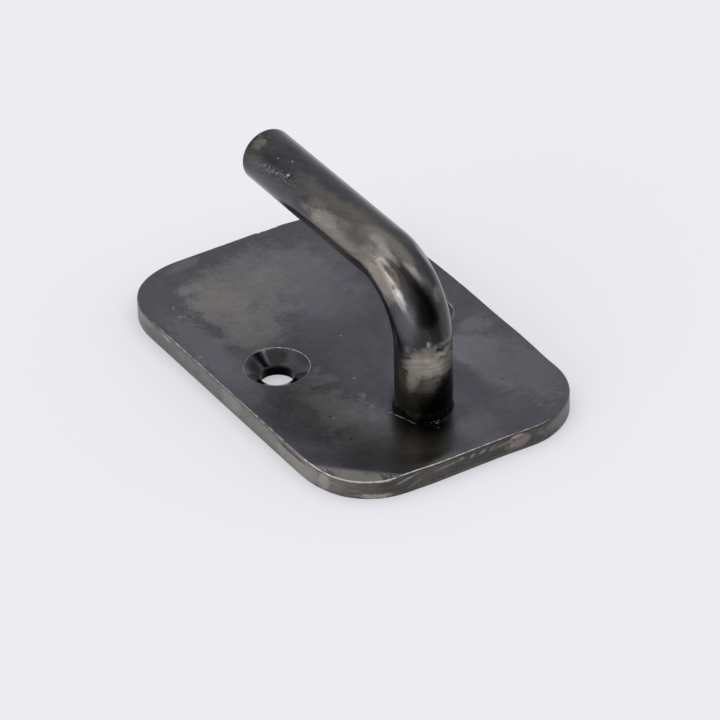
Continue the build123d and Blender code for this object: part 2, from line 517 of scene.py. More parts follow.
def makePlateFinish():
    # Hot-rolled mild steel, blackened cold and waxed: dark, satin, cloudy, rubbed bright along its edges
    # where a painted highlight also runs, with painted reflections and painted shade laid into its colour
    material, tree, output = newMaterial("waxed_blackened_mild_steel")
    place = placeInMm(tree)
    tears = {
        "broad": centredNoise(tree, place, (0.22, 0.22, 0.22), 3.0, 0.55),
        "fine": centredNoise(tree, place, (1.1, 1.1, 1.1), 4.0, 0.6),
        "speck": centredNoise(tree, place, (3.0, 3.0, 3.0), 2.0, 0.5),
    }
    mottling = centredNoise(tree, place, (1.0 / plateFinish["mottleSize"],) * 3, 6.0, 0.6, distortion=0.4)
    colour, roughness = cloudedSteel(tree, mottling, plateFinish)
    colour, roughness = layPatches(tree, place, tears, plateCloudsAndReflections + plateMarksAndReflections, onPlate, colour, roughness)
    shares = {
        name: addNode(tree, "Attribute", {"attribute_name": name}).outputs["Fac"] for name in plateShares
    }

    # Walls: filed along their length, and lighter on the left than below: painted light, as the left wall
    # mirrors the floor and window
    axes = addNode(tree, "SeparateXYZ", links={0: place}).outputs
    wallToneAndLight = blendTones(tree, axes["X"], plateFinish["leftWallLitFrom"], plateFinish["wallTonesAndLight"])
    filing = centredNoise(tree, place, (0.35, 0.35, 4.0), 3.0, 0.65)
    wallToneAndLight = varyTone(tree, wallToneAndLight, filing, plateFinish["filingSpread"])
    wallToneAndLight, roughness = layPatches(tree, place, tears, wallMarks, onPlate, wallToneAndLight, roughness)
    colour = addNode(
        tree, "Mix", {"data_type": "RGBA"}, {0: shares["wall"], 6: colour, 7: wallToneAndLight}
    ).outputs[2]

    # Filed corner: the file's strokes run along the plate, a little aslant
    strokePlace = addNode(
        tree, "Mapping", {"Rotation": (0.0, 0.0, math.radians(plateFinish["fileMarkTurn"]))},
        {"Vector": place},
    ).outputs[0]
    strokes = centredNoise(tree, strokePlace, (1.0 / plateFinish["fileMarkPitch"], 0.35, 0.35), 2.0, 0.6)
    clustered = addNode(
        tree, "Math", {"operation": "MULTIPLY_ADD", 1: 1.4}, {0: tears["broad"], 2: strokes}
    ).outputs[0]
    filedTone = blendTones(
        tree, clustered, plateFinish["fileMarkCut"], plateFinish["filedTones"], plateFinish["fileMarkMost"]
    )
    colour = addNode(
        tree, "Mix", {"data_type": "RGBA"}, {0: shares["filed"], 6: colour, 7: filedTone}
    ).outputs[2]
    for name in ("wall", "filed", "turned"):
        roughness = addNode(
            tree, "Mix", {"data_type": "FLOAT", 3: plateFinish[name + "Roughness"]},
            {0: shares[name], 2: roughness},
        ).outputs[0]

    # Grain over all of it, then the bare rubbed edges with their painted highlight, the smoother turned
    # countersinks and the painted shade in the bores
    grain = centredNoise(tree, place, (1.0 / plateFinish["grainSize"],) * 3, 3.0, 0.6)
    cloudy = centredNoise(tree, place, (0.5, 0.5, 0.5), 4.0, 0.65)
    for unevenness in (grain, cloudy):
        colour = varyTone(tree, colour, unevenness, plateFinish["grainSpread"])
    wornAndHighlit = addNode(
        tree, "Math", {"operation": "MULTIPLY_ADD", 1: 1.1}, {0: tears["fine"], 2: shares["rubbedAndHighlit"]}
    ).outputs[0]
    wornAndHighlitFrom, wornAndHighlitTo = plateFinish["wornAndHighlitCut"]
    wornAndHighlitMask = addNode(
        tree, "MapRange", {"From Min": wornAndHighlitFrom, "From Max": wornAndHighlitTo, "To Max": plateFinish["wornAndHighlitMost"]},
        {"Value": wornAndHighlit},
    ).outputs["Result"]
    colour = addNode(
        tree, "Mix", {"data_type": "RGBA", 7: srgb(plateFinish["rubbedAndHighlit"])}, {0: wornAndHighlitMask, 6: colour}
    ).outputs[2]
    turnedDark = addNode(
        tree, "Math", {"operation": "MULTIPLY_ADD", 1: -plateFinish["turnedDimming"], 2: 1.0},
        {0: shares["turned"]},
    ).outputs[0]
    colour = addNode(
        tree, "Mix", {"data_type": "RGBA", "blend_type": "MULTIPLY", 0: 1.0}, {6: colour, 7: turnedDark}
    ).outputs[2]
    colour = addNode(
        tree, "Mix", {"data_type": "RGBA", 7: srgb(plateFinish["bored"])}, {0: shares["bored"], 6: colour}
    ).outputs[2]

    uneven = centredNoise(tree, place, (0.14, 0.14, 0.14), 2.0, 0.5)
    broad = addNode(
        tree, "Bump", {"Strength": 0.25, "Distance": 0.4 * mm}, {"Height": uneven}
    ).outputs["Normal"]
    marked = addNode(
        tree, "Bump", {"Strength": 0.35, "Distance": 0.05 * mm}, {"Height": filing, "Normal": broad}
    ).outputs["Normal"]
    shaped = addNode(
        tree, "Mix", {"data_type": "VECTOR"}, {0: shares["wall"], 4: broad, 5: marked}
    ).outputs[1]
    fine = addNode(
        tree, "Bump", {"Strength": 0.12, "Distance": 0.03 * mm}, {"Height": grain, "Normal": shaped}
    ).outputs["Normal"]
    steel = addNode(
        tree, "BsdfPrincipled", {"Metallic": 1.0},
        {"Base Color": colour, "Roughness": roughness, "Normal": fine},
    )
    tree.links.new(steel.outputs[0], output.inputs["Surface"])
    return material


# Back plate: flat bar with filed edges and two drilled and countersunk holes
plate = {
    "cornerRadius": 13.5,
    "frontBreak": 0.35,
    "backBreak": 0.2,
    "cornerSegments": 48,
    "edgeStep": 0.45,
    "wallRings": 7,
    "breakSteps": 4,
    "rimRings": [0.25, 0.35, 0.5, 0.7, 0.9],
    "countersinkRadius": 5.9,
    "countersinkDepth": 1.85,
    "countersinkRings": 28,
    "mouthRings": (0.5, 0.25, 0.12),    # flat rings round a countersink, out from its rim
    "mouthReach": 0.9,
    "lipDrop": 0.05,
    "chatter": (0.010, 2.1),    # the turned cone's ridges: height, and radians from ring to ring
    "boreRings": (1.6, 1.0, 0.15),
    "rearFlare": 0.1,
    "seatRadius": 5.05,
    "grooveRadius": 6.55,
    "grooveDepth": 1.5,
    "holeSegments": 112,
}

# Filed flat on the corner nearest the camera: two points on its inner edge, and its fall
cornerFlat = {"from": (-25.5, -28.0), "to": (-14.4, -38.8), "fall": 0.15, "extraCuts": (0.25, 0.6, 1.0)}

# Roughness of the filed front edge: waves to the metre, and their height in mm
edgeWobble = ((350.0, 0.04), (1400.0, 0.015))

# Where hand filing left the outline full or shy of true
outlineDrift = [
    {"at": (-22.2, 35.4), "reach": 9.5, "out": 0.34},
    {"at": (15.5, 39.5), "reach": 8.5, "out": -0.70},
    {"at": (6.8, 39.5), "reach": 3.0, "out": -0.30},
    {"at": (26.0, 6.0), "reach": 15.0, "out": 0.24},
    {"at": (26.0, -25.5), "reach": 12.0, "out": -0.40},
    {"at": (-25.9, -29.6), "reach": 6.0, "out": -0.20},
    {"at": (-13.5, -39.5), "reach": 6.0, "out": -0.20},
    {"at": (12.5, -39.5), "reach": 7.5, "out": 0.22},
]

# Where the near front edge is low: by how much, and the x and the y between which that sets in
nearEdgeDrop = {"depth": 0.20, "x": (-13.0, -6.0), "y": (-37.0, -38.5)}

# The worn front edge: how far in and from what height up it is uneven, and where it is rubbed bright, with a
# painted highlight along the arris there
edgeRubAndHighlight = {
    "reachIn": 1.5,
    "fadeIn": 1.2,
    "above": 1.2,
    "lineIn": 0.13,        # the rubbed line, also a painted highlight, in from the outline and down from the front face, where the rounded arris catches the light
    "lineDown": 0.08,
    "filedOut": 0.10,      # how much nearer the outline it runs along the filed corner
    "width": (0.22, 0.03),
    "least": 0.30,
}

# Knocks in the front edge: place, reach and depth in mm
edgeKnocks = [
    {"at": (4.9, 39.5), "reach": 0.55, "depth": 0.22},
    {"at": (8.6, 39.5), "reach": 0.45, "depth": 0.15},
    {"at": (-26.0, 20.8), "reach": 0.9, "depth": 0.18},
    {"at": (-26.0, 15.9), "reach": 0.7, "depth": 0.14},
]
knockSlant = 0.7    # share of its depth that a knock goes down, and as much inwards


def lipRing(bm, centre, radius, height):
    # One open ring of edges, for the mouth of a hole
    made = bmesh.ops.create_circle(
        bm, cap_ends=False, segments=plate["holeSegments"], radius=radius * mm,
        matrix=Matrix.Translation((centre[0], centre[1], height * mm)),
    )
    return made["verts"]


def pullRing(bm, verts, centre, radius, height):
    # Extrudes a ring to a new radius and height about an upright axis
    moved = extrudeRing(bm, verts)
    middle = Vector((centre[0], centre[1], 0.0))
    for vert in moved:
        flat = Vector((vert.co.x, vert.co.y, 0.0)) - middle
        vert.co = middle + flat.normalized() * radius * mm + Vector((0, 0, height * mm))
    return moved


def plateSlab(bm, width, length, thick):
    # The rounded slab with both edges broken: gives its front and rear faces
    front = plate["frontBreak"] * mm
    rear = plate["backBreak"] * mm
    bmesh.ops.create_cube(bm, size=1.0)
    bmesh.ops.scale(bm, vec=(width, length, thick - front - rear), verts=bm.verts)
    bmesh.ops.translate(bm, vec=(0, 0, rear + (thick - front - rear) / 2), verts=bm.verts)
    bmesh.ops.bevel(
        bm, geom=longEdges(bm, 2, mm), offset=plate["cornerRadius"] * mm, segments=plate["cornerSegments"],
        profile=0.5, affect="EDGES", material=-1,
    )
    for face in [f for f in bm.faces if abs(f.normal.z) > 0.9]:
        bm.faces.remove(face)
    for axis in (0, 1):
        straight = longEdges(bm, axis, 5 * mm)
        cuts = int(straight[0].calc_length() / (plate["edgeStep"] * mm))
        bmesh.ops.subdivide_edges(bm, edges=straight, cuts=cuts, use_grid_fill=True)
    bmesh.ops.subdivide_edges(
        bm, edges=longEdges(bm, 2, mm), cuts=plate["wallRings"], use_grid_fill=True
    )
    openEdges = [e for e in bm.edges if e.is_boundary]
    ends = []
    for isFront in (True, False):
        mouth = [e for e in openEdges if (e.verts[0].co.z > thick / 2) == isFront]
        ends.append(bmesh.ops.edgeloop_fill(bm, edges=mouth)["faces"][0])
    bmesh.ops.recalc_face_normals(bm, faces=bm.faces)
    for face, size in zip(ends, (front, rear)):
        for step in range(plate["breakSteps"]):
            before = math.radians(90 * step / plate["breakSteps"])
            after = math.radians(90 * (step + 1) / plate["breakSteps"])
            bmesh.ops.inset_region(
                bm, faces=[face], thickness=size * (math.cos(before) - math.cos(after)),
                depth=size * (math.sin(after) - math.sin(before)), use_even_offset=True,
            )
    for step in plate["rimRings"]:
        bmesh.ops.inset_region(bm, faces=[ends[0]], thickness=step * mm, depth=0.0, use_even_offset=True)
    return ends


def plateHoles(bm, ends, thickMm, screwPlaces, holeRadius, foot):
    # Cuts the holes into both faces: their walls are rings pulled down from the front
    frontLoops = list(ends[0].edges)
    rearLoops = list(ends[1].edges)
    for face in ends:
        bm.faces.remove(face)
    outer = plate["countersinkRadius"]
    lipDrop = plate["lipDrop"]
    ridge, ridgeTurn = plate["chatter"]
    for centre in screwPlaces:
        ring = lipRing(bm, centre, outer + plate["mouthReach"], thickMm)
        frontLoops += ringEdges(ring)
        for out in plate["mouthRings"]:
            ring = pullRing(bm, ring, centre, outer + out, thickMm)
        ring = pullRing(bm, ring, centre, outer, thickMm - lipDrop)
        for k in range(1, plate["countersinkRings"] + 1):
            share = k / plate["countersinkRings"]
            radius = outer + (holeRadius - outer) * share + ridge * math.sin(k * ridgeTurn)
            height = thickMm - lipDrop - (plate["countersinkDepth"] - lipDrop) * share
            ring = pullRing(bm, ring, centre, radius, height)
        for height in plate["boreRings"]:
            ring = pullRing(bm, ring, centre, holeRadius, height)
        ring = pullRing(bm, ring, centre, holeRadius + plate["rearFlare"], 0.0)
        rearLoops += ringEdges(ring)
    ring = lipRing(bm, foot, plate["seatRadius"], thickMm)
    frontLoops += ringEdges(ring)
    ring = pullRing(bm, ring, foot, plate["seatRadius"], plate["grooveDepth"])
    ring = pullRing(bm, ring, foot, plate["grooveRadius"], 0.0)
    rearLoops += ringEdges(ring)
    bmesh.ops.triangle_fill(bm, use_beauty=True, edges=frontLoops, normal=(0, 0, 1))
    bmesh.ops.triangle_fill(bm, use_beauty=True, edges=rearLoops, normal=(0, 0, -1))


def edgeWearAndHighlight(place):
    # How bare the front edge is rubbed and how bright its painted highlight is, by x and y in mm: most on
    # the left and near sides
    near = 0.5 * smoothStep(17.0, 13.0, place.x * toMm) + 0.5 * smoothStep(13.0, -20.0, place.x * toMm)
    near *= smoothStep(-16.0, -30.0, place.y * toMm)
    left = 0.5 * smoothStep(-15.0, -24.0, place.x * toMm) * smoothStep(27.0, 18.0, place.y * toMm)
    return edgeRubAndHighlight["least"] + (1 - edgeRubAndHighlight["least"]) * max(near, left)


def makePlate(material):
    low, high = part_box("back_plate")
    width, length, thick = high - low
    thickMm = thick * toMm
    screws = mounts["screw_holes"]
    half = screws["dims"]["spacing_x_mm"] * mm / 2
    row = screws["pos_m"][1]
    screwPlaces = ((-half, row), (half, row))
    bm = bmesh.new()
    ends = plateSlab(bm, width, length, thick)
    plateHoles(bm, ends, thickMm, screwPlaces, screws["dims"]["hole_r_mm"], footPlace())

    # The filed flat on the near corner
    start = Vector((*cornerFlat["from"], 0.0)) * mm
    end = Vector((*cornerFlat["to"], 0.0)) * mm
    outward = (end - start).normalized().cross(Vector((0, 0, 1)))
    for further in (0.0, *cornerFlat["extraCuts"]):
        bmesh.ops.bisect_plane(
            bm, geom=list(bm.verts) + list(bm.edges) + list(bm.faces),
            plane_co=start + outward * further * mm, plane_no=outward, dist=0.001 * mm,
        )
    for vert in bm.verts:
        past = (vert.co - start).dot(outward)
        if past > 0:
            vert.co.z = min(vert.co.z, thick - cornerFlat["fall"] * past)

    # Uneven hand filing along the front edge, its knocks, and where the finish is worn
    layers = {name: bm.verts.layers.float.new(name) for name in plateShares}
    inner = Vector((width / 2, length / 2, 0)) - Vector((1, 1, 0)) * plate["cornerRadius"] * mm
    for vert in bm.verts:
        fromCore = Vector((
            math.copysign(max(abs(vert.co.x) - inner.x, 0), vert.co.x),
            math.copysign(max(abs(vert.co.y) - inner.y, 0), vert.co.y), 0,
        ))
        inset = plate["cornerRadius"] - fromCore.length * toMm
        height = vert.co.z * toMm
        past = (vert.co - start).dot(outward)
        edgeHeight = thickMm - max(0.0, past) * toMm * cornerFlat["fall"]
        if fromCore.length > 0 and inset < edgeRubAndHighlight["reachIn"] and height > edgeRubAndHighlight["above"]:
            wobble = sum(noise.noise(vert.co * pitch) * size for pitch, size in edgeWobble)
            nearTop = max(0.0, 1.0 - (edgeHeight - height)) * max(0.0, 1.0 - inset / edgeRubAndHighlight["fadeIn"])
            lowShare = smoothStep(*nearEdgeDrop["x"], vert.co.x * toMm)
            lowShare *= smoothStep(*nearEdgeDrop["y"], vert.co.y * toMm)
            vert.co.z -= (abs(wobble) + nearEdgeDrop["depth"] * lowShare) * nearTop * mm
            vert.co -= fromCore.normalized() * wobble * nearTop * mm
            filedShare = smoothStep(0.0, 1.0, past * toMm)
            away = math.hypot(
                inset - edgeRubAndHighlight["lineIn"] + edgeRubAndHighlight["filedOut"] * filedShare,
                edgeHeight - height - edgeRubAndHighlight["lineDown"] * (1 - filedShare),
            )
            vert[layers["rubbedAndHighlit"]] = smoothStep(*edgeRubAndHighlight["width"], away) * edgeWearAndHighlight(vert.co)
        if inset < 0.1:
            vert[layers["wall"]] = smoothStep(edgeHeight - 0.1, edgeHeight - 0.4, height)
        if height > 2.5 and inset > 0.12:
            vert[layers["filed"]] = smoothStep(0.02, 0.8, past * toMm)
        for knock in edgeKnocks:
            away = (vert.co - Vector((knock["at"][0] * mm, knock["at"][1] * mm, thick))).length * toMm
            if away < knock["reach"]:
                push = knock["depth"] * (1 - (away / knock["reach"]) ** 2) ** 2
                vert.co.z -= push * knockSlant * mm
                vert.co -= Vector((vert.co.x, vert.co.y, 0)).normalized() * push * knockSlant * mm
        for drift in outlineDrift:
            away = math.hypot(vert.co.x * toMm - drift["at"][0], vert.co.y * toMm - drift["at"][1])
            share = smoothStep(drift["reach"], 0.0, away) * smoothStep(5.0, 0.5, inset)
            vert.co += fromCore.normalized() * drift["out"] * share * mm
        for centre in screwPlaces:
            away = math.hypot(vert.co.x - centre[0], vert.co.y - centre[1]) * toMm
            if abs(away - plate["countersinkRadius"]) < 0.05 and height > thickMm - 0.1:
                vert[layers["rubbedAndHighlit"]] = 0.7
            if away < plate["countersinkRadius"] - 0.1:
                vert[layers["turned"]] = 1.0
            # Near-black in the bore: painted shade in the hole
            if away < plate["countersinkRadius"] / 2 + 0.2 and 0.1 < height < 2.0:
                vert[layers["bored"]] = 1.0
    piece = finishMesh(bm, "back_plate_dressed", material)
    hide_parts("back_plate")
    return piece


def footPlace():
    # Where the bar's axis goes through the plate, from the bead's box
    low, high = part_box("front_weld_bead")
    return ((low.x + high.x) / 2, (low.y + high.y) / 2)


# Bar: round stock, bent once, by its centre line
bar = {
    "bendRadius": 12.0,
    "fuller": 0.07,        # how far rolled bar stands over its nominal radius
    "bendSwell": 0.14,     # how much fuller again it is where it was bent
    "tipRound": 0.6,
    "aroundSegments": 144,
    "ringStep": 0.30,
    "tipRings": 6,
    "tipDiscs": (0.8, 0.55, 0.3),    # rings on its flat end, as shares of the radius
    "plateFront": 4.0,
}

# Mark that the clamp left in the bar: how far along it, its bearing round it, and its half size
clampMark = {
    "along": 13.2, "bearing": -88.0, "half": (0.60, 1.15), "slant": 0.2, "depth": 0.24,
    "lip": 0.10, "lipAt": 1.25, "lipSpread": 0.12,
}

barFinish = {
    "tones": ("353538", "424143"),
    "roughness": (0.15, 0.24),
    "clouds": (-0.1, 0.18),
    "brushTurn": 0.07,    # radians round the bar for each mm along it
    "brushPitch": 0.35,
    "linishedTo": (14.5, 12.5),    # mm along it: strokes past the first, rings round it before the second
    "streakSpread": 0.18,
    "blotchSpread": 0.16,
}

# Bared and stained places on the bar, and painted reflections and highlights on it: mm along it from the
# plate's front and degrees round it from +X, with half sizes along and around
brushed = {"brush": 1.3, "fine": 0.7}
patchy = {"brush": 1.0, "blotch": 1.6, "fine": 0.6}
linished = {"rings": 0.8, "fine": 0.7}
barPatchesAndReflections = [
    oval((38, -122), (13, 2.6), "5b5752", 0.8, patchy, turn=4),
    oval((40, -164), (9, 1.6), "8b857d", 0.85, patchy, turn=-2, roughness=0.3),
    oval((43.5, -155), (3.6, 1.4), "958f87", 0.8, brushed, turn=12, roughness=0.32),
    oval((32.4, -114), (2.8, 1.2), "746e67", 0.6, patchy, turn=20, soft=0.5, roughness=0.28),
    oval((46.8, -141), (2.4, 0.9), "7b756d", 0.6, patchy, turn=10, soft=0.5),
    oval((38.4, -140), (2.4, 1), "807971", 0.6, patchy, turn=10, soft=0.5),
    oval((33, -143), (3.6, 1.3), "6d6862", 0.7, patchy, turn=10, soft=0.5),
    oval((42, 174), (7, 1.4), "7a746c", 0.7, brushed, soft=0.5),
    oval((31, -163), (3.8, 1.5), "7f7871", 0.8, brushed, turn=8, roughness=0.3),
    # Brushed bare patch, lightened to carry the window's highlight in the bend: partly painted highlight
    oval((26.2, -140), (2.7, 1.1), "b8afa6", 0.9, brushed, turn=6, soft=0.35, roughness=0.32),
    # Painted highlight on the bar's outer edge
    oval((25.8, -48), (1.8, 0.8), "9f9ea2", 0.7, turn=10, soft=0.6),
    oval((27.4, -163), (1.6, 0.6), "b3aaa1", 0.6, brushed, turn=8),
    oval((30.2, -143), (1.7, 0.9), "948d86", 0.6, brushed, turn=10, soft=0.5),
    oval((30.4, -117), (1.7, 0.8), "8f8881", 0.6, brushed, turn=14, soft=0.5),
    oval((26.4, -119), (1.2, 0.6), "8b857f", 0.7, turn=12, soft=0.5),
    # Painted highlight: part of the thin bright streak along the outer bend, over brushed marks
    oval((24.6, -102), (1, 0.5), "87817b", 0.7, turn=12, soft=0.6),
    oval((18.2, -127.5), (2.8, 0.7), "29292b", 0.7, turn=8, soft=0.6),
    # Painted dark reflection at the foot
    oval((6.9, -103), (0.8, 1), "24221f", 0.7, soft=0.5),
    oval((12.6, -155), (1.6, 0.7), "85817e", 0.7, soft=0.5),
    oval((28.3, -124), (1.4, 0.9), "8f8780", 0.8, brushed, turn=12, soft=0.5, roughness=0.32),
    oval((25.6, -163), (4.2, 1.7), "918a82", 0.9, brushed, turn=4, soft=0.35, roughness=0.3),
    # The bright glint where the brushed patch ends: painted highlight on brushed metal
    oval((21.9, -144), (0.95, 0.75), "aaa69c", 0.85, {"fine": 1.6}, soft=0.7, roughness=0.28),
    oval((17.9, -147), (3, 1.9), "605f61", 0.75, patchy, turn=10, soft=0.6),
    oval((21, -142.5), (1.1, 0.6), "868485", 0.7, brushed, turn=10, soft=0.6),
    oval((14.6, -126), (1.9, 1.2), "2f2f31", 0.5, patchy, soft=0.6),
    oval((24.2, -121), (2.5, 0.85), "3d3a35", 0.8, patchy, turn=12, soft=0.45),
    oval((25.1, -136), (2, 0.5), "302e2a", 0.85, {"fine": 0.8}, turn=9, soft=0.5),
    oval((23.2, -108), (2.8, 0.7), "262423", 0.8, brushed, turn=10, soft=0.5),
    oval((27, -97), (2.8, 0.9), "6e6a64", 0.6, patchy, turn=10, soft=0.6),
    # Painted highlight: the thin bright streak along the outer bend, over brushed marks
    oval((23.1, -92.5), (1.5, 0.5), "908a84", 0.75, {"brush": 1.2, "fine": 1.8}, turn=14, soft=0.7),
    # Painted dark reflection: the black band where the bend mirrors the unlit room
    oval((16.3, -93), (2.6, 1.2), "202021", 0.8, brushed, turn=10, soft=0.7),
    oval((19.2, -110), (1.7, 1), "6a6a6c", 0.7, brushed, soft=0.7),
    # Painted highlight: the lower end of the bright streak along the outer bend
    oval((21, -80), (2.4, 0.9), "545356", 0.8, brushed, turn=8, soft=0.7),
    oval((20.5, -64), (0.9, 1.2), "74736f", 0.75, brushed, turn=30, soft=0.25),
    oval((17, -60), (3.2, 1.5), "494841", 0.8, patchy),
    oval((9, -160), (4.6, 1.9), "7a7468", 0.8, {"rings": 0.6, "fine": 1.2}, soft=0.5),
    oval((7.3, -127), (2.2, 3), "736c61", 0.8, {"rings": 1.2, "fine": 1.2}, soft=0.5, roughness=0.45),
    oval((11.3, -121), (2.3, 3.2), "aba399", 0.92, linished, turn=6, soft=0.3, roughness=0.46),
    oval((9.8, -142), (3.4, 1.1), "bcb2a7", 0.75, linished, turn=-8, soft=0.5, roughness=0.46),
    oval((11, -80), (2.7, 2.9), "a0988e", 0.8, {"rings": 1.8, "fine": 1}, turn=14, roughness=0.46),
    oval((13.6, -110), (0.9, 2.2), "77726a", 0.65, {"fine": 2.2}, turn=8, soft=0.5),
    # Near-black foot: painted dark reflection of the unlit room and of the plate
    oval((3.5, -66), (4.4, 3.2), "121211", 0.95, {"fine": 0.7}, turn=-16, soft=0.35, roughness=0.3),
    oval((0.8, 0), (4.2, 0), "404036", 0.9, {"fine": 1.6, "rings": 0.5}, roughness=0.36),
    # Near-black foot facing the camera: painted dark reflection of the unlit room and of the plate
    oval((1.6, -80), (3.6, 3.8), "0d0d0c", 0.92, {"fine": 0.8}, soft=0.35),
    # Painted glint beside the clamp's mark
    oval((14.8, -110), (0.34, 0.28), "8d8a83", 1, {"speck": 2.6}, soft=0.8),
    oval((60, -169), (9.5, 1.9), "57575c", 0.7, {"brush": 0.6}, soft=0.6),
    oval((65.4, -132), (2, 1), "3a3a38", 0.5, {"fine": 1.6}, soft=0.6),
    oval((67.2, -149), (2.8, 1.3), "5e5f5c", 0.6, {"fine": 1.6}, soft=0.6),
    oval((53.4, -146), (4, 0.9), "5d5c5b", 0.6, {"fine": 1.6}, turn=8, soft=0.6),
    oval((68, -122), (1.3, 1.2), "69685d", 0.75, {"fine": 2.6, "speck": 1.5}, soft=0.5),
    oval((69.1, -148), (0.9, 1.2), "4c4d45", 0.6, {"fine": 2.6}),
    oval((60.5, -146), (8.6, 1.1), "8f8e88", 0.75, {"speck": 5}, turn=7, soft=0.6, sparse=0.9),
    oval((52, -124), (4, 1.6), "5f5e59", 0.5, {"speck": 2, "fine": 1}, turn=3, soft=0.6, sparse=0.2),
    oval((61.8, -121), (0.28, 0.1), "7e7d7a", 1, {"fine": 1}, turn=30),
    oval((58.8, -107), (0.19, 0.14), "85847f", 1, {"fine": 1}),
    oval((57, -134), (0.42, 0.14), "b0afac", 1, {"fine": 1.2}, turn=15),
    oval((57, -134.5), (0.14, 0.42), "a5a4a2", 1, {"fine": 1.2}),
]


def onBar(patch):
    # A patch's place, turn and half size in the straightened bar. Half of 0 goes all the way round
    along, bearing = patch["at"][0], math.radians(patch["at"][1])
    halfAlong, halfAround = patch["half"]
    radius = mounts["arm"]["dims"]["r_mm"]
    if halfAround == 0.0:
        return (0.0, 0.0, along), (0.0, 0.0, 0.0), (1e4, 1e4, halfAlong)
    at = (radius * math.cos(bearing), radius * math.sin(bearing), along)
    return at, (math.radians(patch.get("turn", 0)), 0.0, bearing), (6.0, halfAround, halfAlong)


def makeBarFinish():
    # Mild steel round bar, brushed by hand and blackened: streaky and warmer than the plate, with painted
    # reflections and highlights laid into its colour
    material, tree, output = newMaterial("brushed_blackened_round_bar")
    place = addNode(tree, "Attribute", {"attribute_name": "straightened"}).outputs["Vector"]
    along = addNode(tree, "SeparateXYZ", links={0: place}).outputs["Z"]
    twist = addNode(
        tree, "Math", {"operation": "MULTIPLY", 1: barFinish["brushTurn"]}, {0: along}
    ).outputs[0]
    twisted = addNode(
        tree, "VectorRotate", {"rotation_type": "Z_AXIS"}, {"Vector": place, "Angle": twist}
    ).outputs[0]
    across = 1.0 / barFinish["brushPitch"]
    tears = {
        "fine": centredNoise(tree, place, (1.1, 1.1, 1.1), 4.0, 0.6),
        "brush": centredNoise(tree, twisted, (across, across, 0.16), 3.0, 0.6),
        "rings": centredNoise(tree, place, (0.12, 0.12, across), 3.0, 0.65),
        "speck": centredNoise(tree, place, (2.4, 2.4, 1.6), 3.0, 0.6),
        "blotch": centredNoise(tree, twisted, (0.45, 0.45, 0.22), 4.0, 0.6),
    }
    mottling = centredNoise(tree, place, (0.22, 0.22, 0.12), 6.0, 0.6, distortion=0.3)
    colour, roughness = cloudedSteel(tree, mottling, barFinish)
    colour, roughness = layPatches(tree, place, tears, barPatchesAndReflections, onBar, colour, roughness)
    strokesEnd, ringsEnd = barFinish["linishedTo"]
    linishedShare = addNode(
        tree, "MapRange", {"From Min": strokesEnd, "From Max": ringsEnd}, {"Value": along}
    ).outputs["Result"]
    lines = addNode(
        tree, "Mix", {"data_type": "FLOAT"}, {0: linishedShare, 2: tears["brush"], 3: tears["rings"]}
    ).outputs[0]
    colour = varyTone(tree, colour, lines, barFinish["streakSpread"])
    colour = varyTone(tree, colour, tears["blotch"], barFinish["blotchSpread"])
    brushedNormal = addNode(
        tree, "Bump", {"Strength": 0.12, "Distance": 0.03 * mm}, {"Height": lines}
    ).outputs["Normal"]
    grained = addNode(
        tree, "Bump", {"Strength": 0.12, "Distance": 0.06 * mm},
        {"Height": tears["fine"], "Normal": brushedNormal},
    ).outputs["Normal"]
    steel = addNode(
        tree, "BsdfPrincipled", {"Metallic": 1.0},
        {"Base Color": colour, "Roughness": roughness, "Normal": grained},
    )
    tree.links.new(steel.outputs[0], output.inputs["Surface"])
    return material


def straighten(place, foot, armHeight):
    # A point of the bent bar as if the bar were straight: mm across it, and along it from the plate
    bendRadius = bar["bendRadius"] * mm
    turnY = foot[1] + bendRadius
    turnZ = armHeight - bendRadius
    start = bar["plateFront"] * mm
    if place.z <= turnZ:
        return Vector((place.x - foot[0], place.y - foot[1], place.z - start)) * toMm
    if place.y >= turnY:
        beyond = turnZ - start + bendRadius * math.pi / 2 + place.y - turnY
        return Vector((place.x - foot[0], armHeight - place.z, beyond)) * toMm
    angle = math.atan2(place.z - turnZ, turnY - place.y)
    inward = bendRadius - math.hypot(place.z - turnZ, turnY - place.y)
    return Vector((place.x - foot[0], inward, turnZ - start + bendRadius * angle)) * toMm


